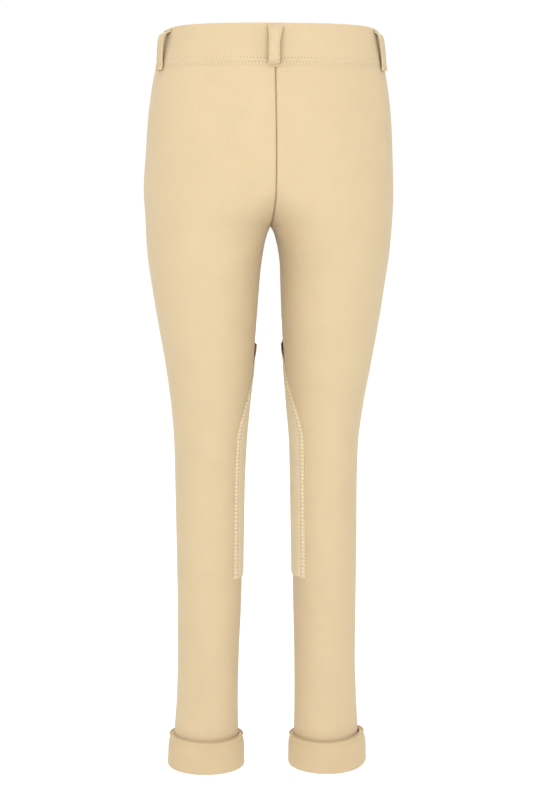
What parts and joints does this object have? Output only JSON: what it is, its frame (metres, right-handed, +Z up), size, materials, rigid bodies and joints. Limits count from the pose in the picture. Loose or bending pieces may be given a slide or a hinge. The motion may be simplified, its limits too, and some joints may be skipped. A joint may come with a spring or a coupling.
{
  "type": "riding breeches",
  "caption": "Fitted full-length riding breeches with belt loops, knee patches and turned-up hems, filled out as when worn, waist and legs open",
  "frame": {"origin": "centre of the waist, at half the height of the waistband, where a wearer's waist holds the garment", "axes": "+Z up along the garment, the back towards -Y, the wearer's left towards -X"},
  "size_m": [0.3207, 0.229, 0.9698],
  "materials": {
    "twill": "matt fine stretch twill, pale beige",
    "knee_patch": "matt fine stretch twill, pale beige",
    "button": "satin horn-coloured resin"
  },
  "bodies": {
    "root": {"back_left": "twill", "back_right": "twill", "front_left": "twill", "front_right": "twill", "waistband": "twill", "fly_flap": "twill", "waist_button": "button", "loop_centre_back": "twill", "loop_side_left": "twill", "loop_side_right": "twill", "loop_front_left": "twill", "loop_front_right": "twill", "knee_patch_left": "knee_patch", "knee_patch_right": "knee_patch", "turn_up_left": "twill", "turn_up_right": "twill"}
  },
  "joints": []
}
